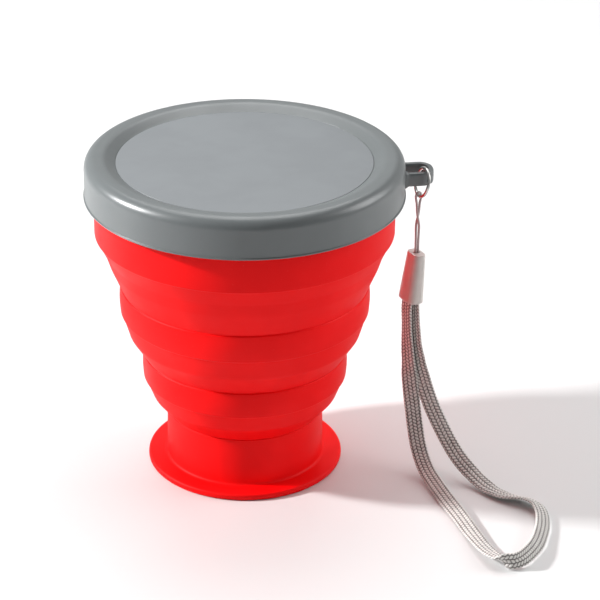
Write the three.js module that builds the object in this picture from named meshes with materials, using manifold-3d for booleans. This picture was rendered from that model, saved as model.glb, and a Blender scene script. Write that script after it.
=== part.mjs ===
// Collapsible travel cup: a soft cup that folds into its own rim, a press-on lid with a lanyard
// eyelet, and a wrist strap that hangs from a jump ring. Millimetres, +Z up. The origin is the
// middle of the foot's underside, and +X points at the eyelet.
import * as THREE from 'three';
import { mergeVertices } from 'three/addons/utils/BufferGeometryUtils.js';
import Module from 'manifold-3d';

const wasm = await Module();
wasm.setup();

// ---- driving dimensions ---------------------------------------------------------------------
const clearance = 0.3; // between pieces that touch or are cut by each other
const turnSteps = 60; // flats round a turned piece

// Outer radii of the four straight bands of the cup wall, from the mouth to the foot.
const rimRadius = 41.6;
const upperRadius = 34.9;
const lowerRadius = 28.8;
const neckRadius = 22.2;

// Heights of what is stacked from the table to the mouth.
const footThickness = 2;
const neckHeight = 14.4;
const lowerWebHeight = 10.4;
const lowerBandHeight = 7.9;
const middleWebHeight = 12.5;
const upperBandHeight = 8.3;
const upperWebHeight = 15.7;
const rimHeight = 18.8;

const bandWall = 2.2;
const webWall = 1.6;
const footOverhang = 5.6; // how far the foot stands out past the neck
const floorThickness = 2.4;

// Hard collar that keeps the mouth round, in a groove that the lid's skirt covers.
const collarHeight = 3.6;
const collarDepth = 1;
const collarDrop = 1.2; // mouth edge down to the collar

const skirtWall = 2.1;
const skirtDrop = 7.7; // mouth edge down to the skirt's lower edge
const lidCrown = 3.1; // lid's crest above the underside that sits on the mouth
const crownFillet = 3.2;
const crestInset = 5.4; // outer radius in to where the crest starts to fall to the panel
const panelRecess = 1.6; // crest down to the panel's face
const panelThickness = 1.4;
const panelInset = 8.7; // outer radius in to the panel's edge
const lidFloorThickness = 1.4;
const plugDepth = 3.2;
const plugWall = 1.4;

const eyeletReach = 8.6; // past the skirt
const eyeletWidth = 8.8;
const eyeletHeight = 3.9;
const eyeletArm = 1.6;
const eyeletEndWall = 1.7;
const eyeletCorner = 3.8;
const eyeletLift = 0.9; // above the skirt's lower edge

const ringRadius = 4; // middle of the wire
const ringWire = 0.9;
const ringTilt = THREE.MathUtils.degToRad(14); // its foot swings in towards the cup
const ringTurn = THREE.MathUtils.degToRad(12); // about the vertical
const ringBackset = 3.7; // eyelet's outer end in to the ring
const ringSlack = 0.5; // between the wire and the arm that it hangs on

const cordDiameter = 0.65;
const webbingWidth = 4.8;
const webbingThickness = 1.1;

const sleeveLength = 14.6;
const sleeveTop = [5.4, 3.9]; // width and depth
const sleeveFoot = [7.6, 5.3];
const sleeveWall = 0.5;
const sleeveTilt = THREE.MathUtils.degToRad(5);
const sleeveTurn = THREE.MathUtils.degToRad(-67); // width direction, from +X
const sleeveDrop = 17.3; // ring's foot down to the sleeve
const clipSize = [2.6, 1.8, 4]; // clip that holds the cord and the webbing inside the sleeve
const clipDrop = 3.4; // sleeve's top down to the clip

// ---- levels and fits that follow ------------------------------------------------------------
const neckTop = footThickness + neckHeight;
const lowerBottom = neckTop + lowerWebHeight;
const lowerTop = lowerBottom + lowerBandHeight;
const upperBottom = lowerTop + middleWebHeight;
const upperTop = upperBottom + upperBandHeight;
const rimBottom = upperTop + upperWebHeight;
const mouth = rimBottom + rimHeight;

const skirtInner = rimRadius + clearance;
const lidRadius = skirtInner + skirtWall;
const skirtBottom = mouth - skirtDrop;
const lidSeat = mouth + clearance;
const crest = lidSeat + lidCrown;
const panelRadius = lidRadius - panelInset;
const panelTop = crest - panelRecess;
const panelBottom = panelTop - panelThickness;
const lidFloorTop = panelBottom - clearance;
const lidFloorBottom = lidFloorTop - lidFloorThickness;
const plugRadius = rimRadius - bandWall - clearance;

const eyeletBottom = skirtBottom + eyeletLift;
const eyeletTop = eyeletBottom + eyeletHeight;
const eyeletEnd = lidRadius + eyeletReach;
const ringX = eyeletEnd - ringBackset;
const armY = -(eyeletWidth - eyeletArm) / 2;
const ringZ = eyeletTop + ringSlack - (ringRadius - ringWire / 2) * Math.cos(ringTilt);
const ringCentre = new THREE.Vector3(ringX, armY, ringZ);
const ringPose = new THREE.Euler(0, Math.PI / 2 + ringTilt, ringTurn, 'ZYX');
const ringFoot = new THREE.Vector3(ringRadius, 0, 0).applyEuler(ringPose).add(ringCentre);

// ---- materials ------------------------------------------------------------------------------
const finish = (color, roughness, metalness = 0) =>
  new THREE.MeshStandardMaterial({ color, roughness, metalness });
const redSilicone = () => finish(0xe01b22, 0.5);
const greySilicone = () => finish(0x8a9092, 0.55);
const greyPanel = () => finish(0x9ea6a8, 0.4);
const hardPlastic = () => finish(0x70757a, 0.45);
const steel = () => finish(0xb8b8b4, 0.3, 1);
const cordFibre = () => finish(0x8c7f7d, 0.8);
const webbingFibre = () => finish(0x9c9793, 0.75);
const sleevePlastic = () => finish(0xc9c2be, 0.35);

// ---- helpers --------------------------------------------------------------------------------
const cup = new THREE.Group();

function addPiece(name, geometry, material, parent = cup) {
  const mesh = new THREE.Mesh(geometry, material);
  mesh.name = name;
  parent.add(mesh);
  return mesh;
}

// A ring or a disc from its section, a list of [radius, height] that goes round anticlockwise.
function turned(section) {
  const points = section.map(([radius, height]) => new THREE.Vector2(radius, height));
  if (points[0].x > 0) points.push(points[0].clone());
  return new THREE.LatheGeometry(points, turnSteps).rotateX(Math.PI / 2);
}

// Points on an arc about [r, z], from one angle to another in degrees.
function arc(r, z, radius, from, to, steps) {
  return Array.from({ length: steps + 1 }, (_, i) => {
    const angle = THREE.MathUtils.degToRad(from + ((to - from) * i) / steps);
    return [r + radius * Math.cos(angle), z + radius * Math.sin(angle)];
  });
}

function solidOf(geometry) {
  const bare = new THREE.BufferGeometry();
  bare.setAttribute('position', geometry.getAttribute('position').clone());
  if (geometry.index) bare.setIndex(geometry.index.clone());
  const merged = mergeVertices(bare, 1e-4);
  return new wasm.Manifold(new wasm.Mesh({
    numProp: 3,
    vertProperties: new Float32Array(merged.getAttribute('position').array),
    triVerts: new Uint32Array(merged.index.array),
  }));
}

function geometryOf(solid) {
  const mesh = solid.getMesh();
  const geometry = new THREE.BufferGeometry();
  geometry.setAttribute('position', new THREE.BufferAttribute(mesh.vertProperties, 3));
  geometry.setIndex(new THREE.BufferAttribute(mesh.triVerts, 1));
  geometry.computeVertexNormals();
  return geometry;
}

// A rectangle with round corners about the origin.
function roundRectangle(width, depth, corner) {
  const [x, y] = [width / 2 - corner, depth / 2 - corner];
  const shape = new THREE.Shape();
  shape.absarc(x, y, corner, 0, Math.PI / 2);
  shape.absarc(-x, y, corner, Math.PI / 2, Math.PI);
  shape.absarc(-x, -y, corner, Math.PI, Math.PI * 1.5);
  shape.absarc(x, -y, corner, Math.PI * 1.5, Math.PI * 2);
  return shape;
}

// ---- cup wall: straight bands joined by webs that fold ----------------------------------------

// A straight band, barely swollen at its middle, with eased edges.
function bandSection(radius, bottom, top) {
  const inner = radius - bandWall;
  const ease = 0.4;
  const swell = 0.3;
  return [
    [inner, bottom],
    [radius - ease, bottom],
    [radius, bottom + ease],
    [radius + swell, (bottom + top) / 2],
    [radius, top - ease],
    [radius - ease, top],
    [inner, top],
  ];
}

// A web that tapers from the band above to the band below in three cones: steep, then nearly
// straight, then steep again. The shares say where its two creases lie.
function webSection(bottomRadius, bottom, topRadius, top, creases) {
  const drop = top - bottom;
  const taper = topRadius - bottomRadius;
  const outer = [
    [bottomRadius, bottom + clearance],
    ...creases.map(([radiusShare, heightShare]) =>
      [bottomRadius + taper * radiusShare, bottom + drop * heightShare]),
    [topRadius, top - clearance],
  ];
  const inner = outer.map(([radius, height]) => [radius - webWall, height]).reverse();
  return [...outer, ...inner];
}

const creaseShares = [[0.63, 0.5], [0.75, 0.7]];
const upperCreaseShares = [[0.41, 0.45], [0.6, 0.7]];

function rimSection() {
  const inner = rimRadius - bandWall;
  const ease = 0.5;
  const grooveTop = mouth - collarDrop + clearance;
  const grooveBottom = mouth - collarDrop - collarHeight - clearance;
  const grooveRadius = rimRadius - collarDepth - clearance;
  return [
    [inner, rimBottom],
    [rimRadius - ease, rimBottom],
    [rimRadius, rimBottom + ease],
    [rimRadius, grooveBottom],
    [grooveRadius, grooveBottom],
    [grooveRadius, grooveTop],
    [rimRadius, grooveTop],
    ...arc(rimRadius - ease, mouth - ease, ease, 0, 90, 2),
    ...arc(inner + ease, mouth - ease, ease, 90, 180, 2),
  ];
}

function collarSection() {
  const top = mouth - collarDrop;
  const inner = rimRadius - collarDepth;
  return [
    [inner, top - collarHeight],
    [rimRadius, top - collarHeight],
    [rimRadius, top],
    [inner, top],
  ];
}

function baseSection() {
  const half = footThickness / 2;
  const footRadius = neckRadius + footOverhang;
  const inner = neckRadius - bandWall;
  const flare = 0.8;
  return [
    [0, 0],
    ...arc(footRadius - half, half, half, -90, 90, 6),
    [neckRadius + flare, footThickness],
    [neckRadius, footThickness + 2 * flare],
    [neckRadius, neckTop],
    [inner, neckTop],
    [inner, floorThickness + flare],
    [inner - flare, floorThickness],
    [0, floorThickness],
  ];
}

addPiece('rim_band', turned(rimSection()), redSilicone());
addPiece('rim_collar', turned(collarSection()), hardPlastic());
addPiece('upper_fold_web',
  turned(webSection(upperRadius, upperTop, rimRadius, rimBottom, upperCreaseShares)),
  redSilicone());
addPiece('upper_band', turned(bandSection(upperRadius, upperBottom, upperTop)), redSilicone());
addPiece('middle_fold_web',
  turned(webSection(lowerRadius, lowerTop, upperRadius, upperBottom, creaseShares)),
  redSilicone());
addPiece('lower_band', turned(bandSection(lowerRadius, lowerBottom, lowerTop)), redSilicone());
addPiece('lower_fold_web',
  turned(webSection(neckRadius, neckTop, lowerRadius, lowerBottom, creaseShares)),
  redSilicone());
addPiece('base_foot', turned(baseSection()), redSilicone());

// ---- lid --------------------------------------------------------------------------------------
function lidSection() {
  const lip = 0.6;
  const filletZ = crest - crownFillet;
  const crestRadius = lidRadius - crownFillet;
  const recessRadius = panelRadius + clearance;
  return [
    [0, lidFloorBottom],
    [plugRadius - plugWall, lidFloorBottom],
    [plugRadius - plugWall, lidFloorBottom - plugDepth],
    [plugRadius, lidFloorBottom - plugDepth],
    [plugRadius, lidSeat],
    [skirtInner, lidSeat],
    [skirtInner, skirtBottom],
    [lidRadius - lip, skirtBottom],
    [lidRadius, skirtBottom + lip],
    ...arc(crestRadius, filletZ, crownFillet, 0, 90, 7),
    [lidRadius - crestInset, crest],
    [recessRadius, panelTop + clearance],
    [recessRadius, lidFloorTop],
    [0, lidFloorTop],
  ];
}

function panelSection() {
  const ease = 0.25;
  return [
    [0, panelBottom],
    [panelRadius, panelBottom],
    [panelRadius, panelTop - ease],
    [panelRadius - ease, panelTop],
    [0, panelTop],
  ];
}

// A loop that lies flat: straight arms from the skirt, a round end, and a slot of the same form.
function eyeletShape() {
  const half = eyeletWidth / 2;
  const slot = half - eyeletArm;
  const slotCorner = eyeletCorner - eyeletArm;
  const slotEnd = eyeletEnd - eyeletEndWall;
  const root = lidRadius + clearance;
  const slotStart = root + 0.6;
  const shape = new THREE.Shape();
  shape.moveTo(root, -half);
  shape.lineTo(eyeletEnd - eyeletCorner, -half);
  shape.absarc(eyeletEnd - eyeletCorner, -half + eyeletCorner, eyeletCorner, -Math.PI / 2, 0);
  shape.absarc(eyeletEnd - eyeletCorner, half - eyeletCorner, eyeletCorner, 0, Math.PI / 2);
  shape.lineTo(root, half);
  const hole = new THREE.Path();
  hole.moveTo(slotStart, -slot);
  hole.lineTo(slotEnd - slotCorner, -slot);
  hole.absarc(slotEnd - slotCorner, -slot + slotCorner, slotCorner, -Math.PI / 2, 0);
  hole.absarc(slotEnd - slotCorner, slot - slotCorner, slotCorner, 0, Math.PI / 2);
  hole.lineTo(slotStart, slot);
  shape.holes.push(hole);
  return shape;
}

addPiece('lid_cover', turned(lidSection()), greySilicone());
addPiece('lid_panel', turned(panelSection()), greyPanel());
addPiece('lid_eyelet',
  new THREE.ExtrudeGeometry(eyeletShape(), {
    depth: eyeletHeight, bevelEnabled: false, curveSegments: 5,
  }),
  greySilicone()).position.z = eyeletBottom;

// ---- lanyard ----------------------------------------------------------------------------------
const ring = addPiece('jump_ring',
  new THREE.TorusGeometry(ringRadius, ringWire / 2, 8, 32), steel());
ring.rotation.copy(ringPose);
ring.position.copy(ringCentre);

// Plumb below the ring's foot: this group's origin is the sleeve's top and its X is the sleeve's
// width. The cord hangs plumb in it, and the sleeve with its clip leans in towards the cup.
const hung = new THREE.Group();
hung.position.set(ringFoot.x, ringFoot.y, ringFoot.z - sleeveDrop);
hung.rotation.z = sleeveTurn;
cup.add(hung);
const leaning = new THREE.Group();
leaning.position.copy(hung.position);
leaning.rotation.set(0, sleeveTilt, sleeveTurn, 'YXZ');
cup.add(leaning);

// A flat tube that widens from its top, at z = 0, to its foot.
function tapered(top, foot, length, corner) {
  const geometry = new THREE.ExtrudeGeometry(roundRectangle(...foot, corner), {
    depth: length, bevelEnabled: false, curveSegments: 4, steps: 1,
  }).translate(0, 0, -length);
  const place = geometry.getAttribute('position');
  for (let i = 0; i < place.count; i += 1) {
    const share = -place.getZ(i) / length;
    place.setX(i, place.getX(i) * THREE.MathUtils.lerp(top[0] / foot[0], 1, share));
    place.setY(i, place.getY(i) * THREE.MathUtils.lerp(top[1] / foot[1], 1, share));
  }
  return geometry;
}

function sleeveGeometry() {
  const corner = 1.4;
  const thin = ([width, depth]) => [width - 2 * sleeveWall, depth - 2 * sleeveWall];
  const capThickness = 0.8;
  const outer = solidOf(tapered(sleeveTop, sleeveFoot, sleeveLength, corner));
  const cavity = solidOf(
    tapered(thin(sleeveTop), thin(sleeveFoot), sleeveLength, corner - sleeveWall)
      .translate(0, 0, -capThickness));
  const holeWidth = cordDiameter + 2 * clearance;
  const holeDepth = 2 * cordDiameter + 3 * clearance;
  const hole = solidOf(new THREE.BoxGeometry(holeWidth, holeDepth, 4 * capThickness));
  return geometryOf(outer.subtract(cavity).subtract(hole));
}

addPiece('strap_sleeve', sleeveGeometry(), sleevePlastic(), leaning);
addPiece('strap_clip', new THREE.BoxGeometry(...clipSize), steel(), leaning)
  .position.z = -clipDrop - clipSize[2] / 2;

// A round cord's section, and a flat one with eased edges.
function roundSection(diameter) {
  return roundRectangle(diameter, diameter, diameter / 2);
}

function flatSection(width, thickness) {
  const ease = thickness / 4;
  const [x, y] = [thickness / 2, width / 2];
  return new THREE.Shape([
    new THREE.Vector2(x, y - ease),
    new THREE.Vector2(x - ease, y),
    new THREE.Vector2(-x + ease, y),
    new THREE.Vector2(-x, y - ease),
    new THREE.Vector2(-x, -y + ease),
    new THREE.Vector2(-x + ease, -y),
    new THREE.Vector2(x - ease, -y),
    new THREE.Vector2(x, -y + ease),
  ]);
}

// Thin cord: up out of the clip, both runs side by side with half a turn about each other, over
// the wire at the ring's foot, and down again. Offsets from the sleeve's top: along the sleeve's
// width, along its depth, and up.
const cordRoute = [
  [-0.12, 0.2, -3.0], [-0.05, 0.4, -1.5], [0, 0.42, 0.2], [0, 0.42, 3.0],
  [0.1, 0.41, 6.0], [0.3, 0.3, 8.0], [0.42, 0, 9.6], [0.3, -0.3, 11.2],
  [0.1, -0.42, 13.0], [0, -0.5, 15.0], [0, -0.85, 16.7], [0, -0.68, 17.85],
  [0, 0, 18.3], [0, 0.68, 17.85], [0, 0.85, 16.7], [0, 0.5, 15.0],
  [-0.1, 0.42, 13.0], [-0.3, 0.3, 11.2], [-0.42, 0, 9.6], [-0.3, -0.3, 8.0],
  [-0.1, -0.41, 6.0], [0, -0.42, 3.0], [0, -0.42, 0.2], [-0.05, -0.5, -1.5],
  [-0.12, -0.75, -3.0],
];

// Webbing, as offsets from the ring's foot in x and y and heights above the table: down the
// front leg, flat on the table, round the bight on its edge, and up the other leg.
const strapRoute = [
  [-1.6, -0.27, 52.0], [-1.95, -0.27, 49.5], [-2.4, -0.3, 46.5], [-2.3, -0.6, 40.8],
  [-2.1, -1.2, 35.7], [-1.9, -2.1, 30.9], [-1.5, -3.8, 24.4], [-1.0, -5.9, 18.3],
  [-0.5, -8.4, 12.2], [0, -10.9, 7.6], [0.7, -14.2, 4.3], [1.5, -18.3, 2.5],
  [2.6, -23.6, 1.75], [4.25, -32.0, 1.4], [6.1, -40.5, 1.3], [8.0, -51.0, 1.25],
  [9.4, -58.4, 1.6], [10.9, -63.6, 2.3], [12.7, -66.7, 2.65], [15.0, -67.8, 2.7],
  [18.0, -66.4, 2.6], [21.4, -62.7, 2.4], [24.1, -58.6, 2.2], [26.3, -53.7, 2.1],
  [28.0, -48.6, 2.05], [28.9, -43.2, 2.05], [28.5, -39.0, 2.05], [26.6, -36.0, 1.9],
  [23.9, -34.0, 1.55], [21.1, -32.0, 1.25], [18.5, -29.3, 1.3], [15.9, -25.7, 1.9],
  [13.1, -21.4, 3.7], [10.6, -17.5, 6.0], [8.5, -14.1, 9.1], [6.5, -11.0, 12.9],
  [4.8, -8.3, 16.6], [3.4, -6.2, 20.4], [2.1, -4.2, 25.2], [1.2, -2.9, 29.5],
  [0.5, -1.7, 34.8], [0.15, -0.8, 40.6], [-0.1, -0.1, 46.0], [-0.3, 0.27, 49.5],
  [-0.32, 0.27, 52.0],
];

// Where one flat face of the webbing looks, at shares of its length.
const strapFaces = [
  [0, [-0.92, -0.39, 0]], [0.05, [-0.92, -0.39, 0]], [0.095, [-0.75, -0.65, 0]],
  [0.125, [-0.4, -0.88, 0.2]], [0.16, [-0.1, -0.88, 0.45]], [0.21, [-0.1, -0.88, 0.45]],
  [0.27, [-0.2, -0.4, 0.85]], [0.38, [-0.15, -0.15, 0.95]], [0.43, [0, 0.3, 0.95]],
  [0.46, [-0.05, 0.6, 0.8]], [0.484, [-0.1, 0.9, -0.2]], [0.51, [-0.4, 0.73, -0.5]],
  [0.56, [-0.5, 0.35, -0.75]], [0.6, [-0.5, 0.1, -0.85]], [0.625, [-0.45, -0.15, -0.87]],
  [0.66, [-0.3, -0.35, -0.87]], [0.69, [-0.1, 0, -1]], [0.72, [0.05, 0.5, -0.85]],
  [0.76, [0.1, 0.88, -0.45]], [0.85, [0.1, 0.88, -0.45]], [0.875, [0.35, 0.9, -0.2]],
  [0.9, [0.6, 0.75, 0]], [0.93, [0.85, 0.5, 0]], [0.96, [0.92, 0.39, 0]],
  [1, [0.92, 0.39, 0]],
];

function strapFaceAt(share) {
  const next = Math.max(1, strapFaces.findIndex(([place]) => place >= share));
  const [[from, start], [to, stop]] = [strapFaces[next - 1], strapFaces[next]];
  return new THREE.Vector3(...start)
    .lerp(new THREE.Vector3(...stop), (share - from) / (to - from));
}

// A band that turns about its own path so that its flat face looks where strapFaces says.
class BandCurve extends THREE.CatmullRomCurve3 {
  computeFrenetFrames(steps) {
    const frames = { tangents: [], normals: [], binormals: [] };
    for (let i = 0; i <= steps; i += 1) {
      const tangent = this.getTangentAt(i / steps);
      const normal = strapFaceAt(i / steps);
      normal.addScaledVector(tangent, -normal.dot(tangent)).normalize();
      frames.tangents.push(tangent);
      frames.normals.push(normal);
      frames.binormals.push(tangent.clone().cross(normal));
    }
    return frames;
  }
}

const toVectors = (route) => route.map((point) => new THREE.Vector3(...point));

addPiece('cord_loop',
  new THREE.ExtrudeGeometry(roundSection(cordDiameter), {
    steps: 56,
    curveSegments: 2,
    extrudePath: new THREE.CatmullRomCurve3(toVectors(cordRoute)),
  }),
  cordFibre(), hung);

addPiece('wrist_strap',
  new THREE.ExtrudeGeometry(flatSection(webbingWidth, webbingThickness), {
    steps: 108,
    extrudePath: new BandCurve(toVectors(strapRoute)),
  }),
  webbingFibre()).position.set(ringFoot.x, ringFoot.y, 0);

export default cup;
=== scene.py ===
# %% [markdown]
# # A collapsible travel cup
#
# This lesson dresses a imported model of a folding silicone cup. The model comes in as a fixed
# frame: its parts say where everything is, and its bodies say what moves. Each step below makes
# one piece of the real object in mesh code, gives it a finish, and ties it to the body it moves
# with. All sizes are in metres.

# %% load the frame
import bpy
import bmesh
import math
from mathutils import Matrix, Vector, noise


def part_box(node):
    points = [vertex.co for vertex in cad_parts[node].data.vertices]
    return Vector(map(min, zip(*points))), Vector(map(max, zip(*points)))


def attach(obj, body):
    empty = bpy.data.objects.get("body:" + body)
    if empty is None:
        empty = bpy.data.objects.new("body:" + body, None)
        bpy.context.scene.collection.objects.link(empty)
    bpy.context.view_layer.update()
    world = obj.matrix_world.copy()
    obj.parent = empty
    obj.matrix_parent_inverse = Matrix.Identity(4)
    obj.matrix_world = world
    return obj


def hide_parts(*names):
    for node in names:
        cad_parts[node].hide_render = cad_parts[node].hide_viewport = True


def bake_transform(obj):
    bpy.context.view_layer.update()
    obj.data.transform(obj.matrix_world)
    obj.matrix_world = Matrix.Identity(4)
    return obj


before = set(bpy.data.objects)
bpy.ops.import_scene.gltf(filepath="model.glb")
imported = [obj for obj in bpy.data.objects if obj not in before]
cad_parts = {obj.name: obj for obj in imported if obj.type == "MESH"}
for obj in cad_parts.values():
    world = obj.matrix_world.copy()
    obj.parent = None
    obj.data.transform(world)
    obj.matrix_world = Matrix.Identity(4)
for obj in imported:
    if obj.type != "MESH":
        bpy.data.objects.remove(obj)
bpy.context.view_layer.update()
MM = 0.001

# %% [markdown]
# ## Sizes from the frame
#
# Every piece is measured from the model's own solids, so that a band or a lid made here sits
# exactly where its solid does. A node's box gives its lowest and highest corners, which for a
# turned piece is its radius and its two heights.


# %% measure the turned parts
def turned_size(node):
    """(radius, bottom, top) of a part that is round about the Z axis."""
    low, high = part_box(node)
    return (high[0] - low[0]) / 2, low[2], high[2]


RIM_RADIUS, RIM_BOTTOM, MOUTH = turned_size("rim_band")
UPPER_SWOLLEN, UPPER_BOTTOM, UPPER_TOP = turned_size("upper_band")
LOWER_SWOLLEN, LOWER_BOTTOM, LOWER_TOP = turned_size("lower_band")
FOOT_RADIUS, TABLE, NECK_TOP = turned_size("base_foot")
LID_RADIUS, SKIRT_BOTTOM, CREST = turned_size("lid_cover")
PANEL_RADIUS, PANEL_BOTTOM, PANEL_TOP = turned_size("lid_panel")
COLLAR_RADIUS, COLLAR_BOTTOM, COLLAR_TOP = turned_size("rim_collar")
BAND_SWELL = 0.3 * MM
UPPER_RADIUS = UPPER_SWOLLEN - BAND_SWELL
LOWER_RADIUS = LOWER_SWOLLEN - BAND_SWELL
FOOT_OVERHANG = 5.6 * MM
NECK_RADIUS = FOOT_RADIUS - FOOT_OVERHANG
BAND_WALL = 2.2 * MM
WEB_WALL = 1.6 * MM
print(f"lid {2 * LID_RADIUS / MM:.1f} mm across, {CREST / MM:.1f} mm tall")

# %% [markdown]
# ## Camera
#
# The camera comes first, because it decides how much detail each piece needs. It looks down at
# the cup from the front, turned a few degrees to the left, so that the eyelet stands out on the
# right. It stands two thirds of a metre away, which gives the cup a slight perspective. Aiming
# it a little past the cup's axis leaves room for the strap, and needs no lens shift.

# %% place the camera
CAMERA_TURN = math.radians(-7)
CAMERA_DISTANCE = 0.6696
CAMERA_ELEVATION = math.radians(26.79)
CAMERA_ROLL = math.radians(0.6)
CAMERA_LENS = 142.2
AIM_HEIGHT = 43.0 * MM
AIM_ASIDE = Vector((15.55, 2.4, 47.9)) * MM


def seen_from_front(point):
    """A point given with the camera straight in front of it, turned into the model's frame."""
    return Matrix.Rotation(CAMERA_TURN, 3, "Z") @ Vector(point)


camera_data = bpy.data.cameras.new("camera")
camera_data.lens = CAMERA_LENS
camera_data.sensor_width = 36
camera = bpy.data.objects.new("camera", camera_data)
bpy.context.scene.collection.objects.link(camera)
camera.location = seen_from_front((
    0,
    -CAMERA_DISTANCE * math.cos(CAMERA_ELEVATION),
    AIM_HEIGHT + CAMERA_DISTANCE * math.sin(CAMERA_ELEVATION),
))
sight = seen_from_front(AIM_ASIDE) - camera.location
aim = sight.to_track_quat("-Z", "Y").to_matrix() @ Matrix.Rotation(CAMERA_ROLL, 3, "Z")
camera.rotation_euler = aim.to_euler()
bpy.context.scene.camera = camera
print("camera at", [round(c, 3) for c in camera.location])

# %% [markdown]
# ## A small language for shaders
#
# Node trees are easier to read as formulas. A `Sock` wraps one output socket, and its operators
# add the Math node that they stand for, so `1 - mask * 0.4` builds two nodes. Colours are mixed
# with Mix nodes, because a Math node would turn them grey. `Finish` holds one material: its
# `node` method adds any other node from its type, its settings and what goes into its sockets.


# %% sockets as numbers
class Sock:
    """One output socket. Arithmetic on it adds Math nodes."""

    def __init__(self, finish, socket):
        self.finish = finish
        self.socket = socket

    def math(self, operation, *values):
        return self.finish.node("ShaderNodeMath", {"operation": operation}, *values)

    def __add__(self, other):
        return self.math("ADD", self, other)

    def __sub__(self, other):
        return self.math("SUBTRACT", self, other)

    def __rsub__(self, other):
        return self.math("SUBTRACT", other, self)

    def __mul__(self, other):
        return self.math("MULTIPLY", self, other)

    def __pow__(self, other):
        return self.math("POWER", self, other)

    __radd__ = __add__
    __rmul__ = __mul__

    def between(self, low, high):
        """0 below low, 1 above high, and smooth in between."""
        settings = {"interpolation_type": "SMOOTHSTEP"}
        return self.finish.node("ShaderNodeMapRange", settings, self, low, high, 0.0, 1.0)

    def sine(self):
        return self.math("SINE", self)


print("sockets can be added, subtracted, multiplied and raised to a power")


# %% one finish
class Finish:
    """A Principled material that is filled in socket by socket."""

    def __init__(self, name, color, roughness, **constants):
        self.material = bpy.data.materials.new(name)
        self.material.use_nodes = True
        self.material.diffuse_color = (*color, 1)
        self.tree = self.material.node_tree
        self.shader = self.tree.nodes["Principled BSDF"]
        self.put("Base Color", color)
        self.put("Roughness", roughness)
        for socket, value in constants.items():
            self.put(socket.replace("_", " "), value)

    def fill(self, socket, value):
        if isinstance(value, Sock):
            self.tree.links.new(value.socket, socket)
        elif hasattr(value, "__len__") and len(value) == 3 and socket.type == "RGBA":
            socket.default_value = (*value, 1)
        else:
            socket.default_value = value

    def put(self, name, value):
        self.fill(self.shader.inputs[name], value)

    def node(self, kind, settings=None, *values, out=0, **named):
        made = self.tree.nodes.new(kind)
        for key, setting in (settings or {}).items():
            setattr(made, key, setting)
        for socket, value in zip(made.inputs, values):
            self.fill(socket, value)
        for name, value in named.items():
            self.fill(made.inputs[name.replace("_", " ")], value)
        return Sock(self, made.outputs[out])

    def place(self):
        """Where a spot is on its object, in metres."""
        return self.node("ShaderNodeTexCoord", out="Object")

    def parts_of(self, vector):
        split = self.node("ShaderNodeSeparateXYZ", None, vector).socket.node
        return [Sock(self, socket) for socket in split.outputs]

    def noise(self, scale, detail=3.0, roughness=0.5):
        return self.node("ShaderNodeTexNoise", None, out="Fac", Vector=self.place(),
                         Scale=scale, Detail=detail, Roughness=roughness)

    def mix(self, factor, first, second):
        """Two colours mixed by a factor."""
        made = self.tree.nodes.new("ShaderNodeMix")
        made.data_type = "RGBA"
        for place, value in ((0, factor), (6, first), (7, second)):
            self.fill(made.inputs[place], value)
        return Sock(self, made.outputs[2])

    def bump(self, height, distance, strength=1.0):
        """Raises the surface by a height from 0 to 1 times a distance in metres."""
        self.put("Normal", self.node("ShaderNodeBump", None, out="Normal",
                                     Strength=strength, Distance=distance, Height=height))


def srgb(red, green, blue):
    """A colour as a screen shows it, 0 to 255, turned into the linear light of a shader."""
    def linear(level):
        level /= 255
        return level / 12.92 if level <= 0.04045 else ((level + 0.055) / 1.055) ** 2.4
    return tuple(linear(level) for level in (red, green, blue))


print("shader helpers ready")

# %% [markdown]
# ## The webbing's finish
#
# The wrist strap is a flat braid of silver-grey nylon. The ribs are real geometry, made below,
# so the finish only adds what is smaller: the fine filaments of each yarn, painted shade in the
# gaps where yarns dive under each other, and a slight change of tone from yarn to yarn. The mesh
# carries a UV map with metres along the strap in V, so the filaments follow its bends.

# %% nylon finishes
FILAMENTS_ACROSS = 9000  # radians of the filament wave in a metre across the strap
FILAMENTS_ALONG = 2200  # and along it, which slants them


def nylon(name, light, dark, yarn_pitch):
    finish = Finish(name, light, 0.62, Sheen_Weight=0.35, Sheen_Roughness=0.4,
                    Specular_IOR_Level=0.45)
    across, along, _ = finish.parts_of(finish.node("ShaderNodeUVMap"))
    wave = (across * FILAMENTS_ACROSS + along * FILAMENTS_ALONG).sine()
    filament = (wave * 0.5 + 0.5) ** 2.0
    tone = finish.noise(1 / (3 * yarn_pitch), 2.0)
    depth = finish.node("ShaderNodeAttribute", {"attribute_name": "yarn_height"}, out="Fac")
    # Painted shade: the base colour is darkened where the yarn lies low, in the gaps between
    # stitches and strands.
    gap_shade = 1 - depth.between(0.0, 0.7)
    shade = gap_shade * 0.9 + (1 - filament) * 0.12 + (tone - 0.5) * 0.4
    finish.put("Base Color", finish.mix(shade.between(0.0, 1.1), light, dark))
    finish.put("Roughness", 0.52 + gap_shade * 0.3)
    finish.bump(filament, 0.03 * MM, 0.5)
    return finish.material


WEBBING = nylon("webbing", srgb(226, 223, 219), srgb(92, 86, 84), 0.9 * MM)
THIN_CORD = nylon("thin_cord", srgb(196, 182, 181), srgb(112, 98, 97), 0.5 * MM)
print("nylon finishes made")
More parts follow.
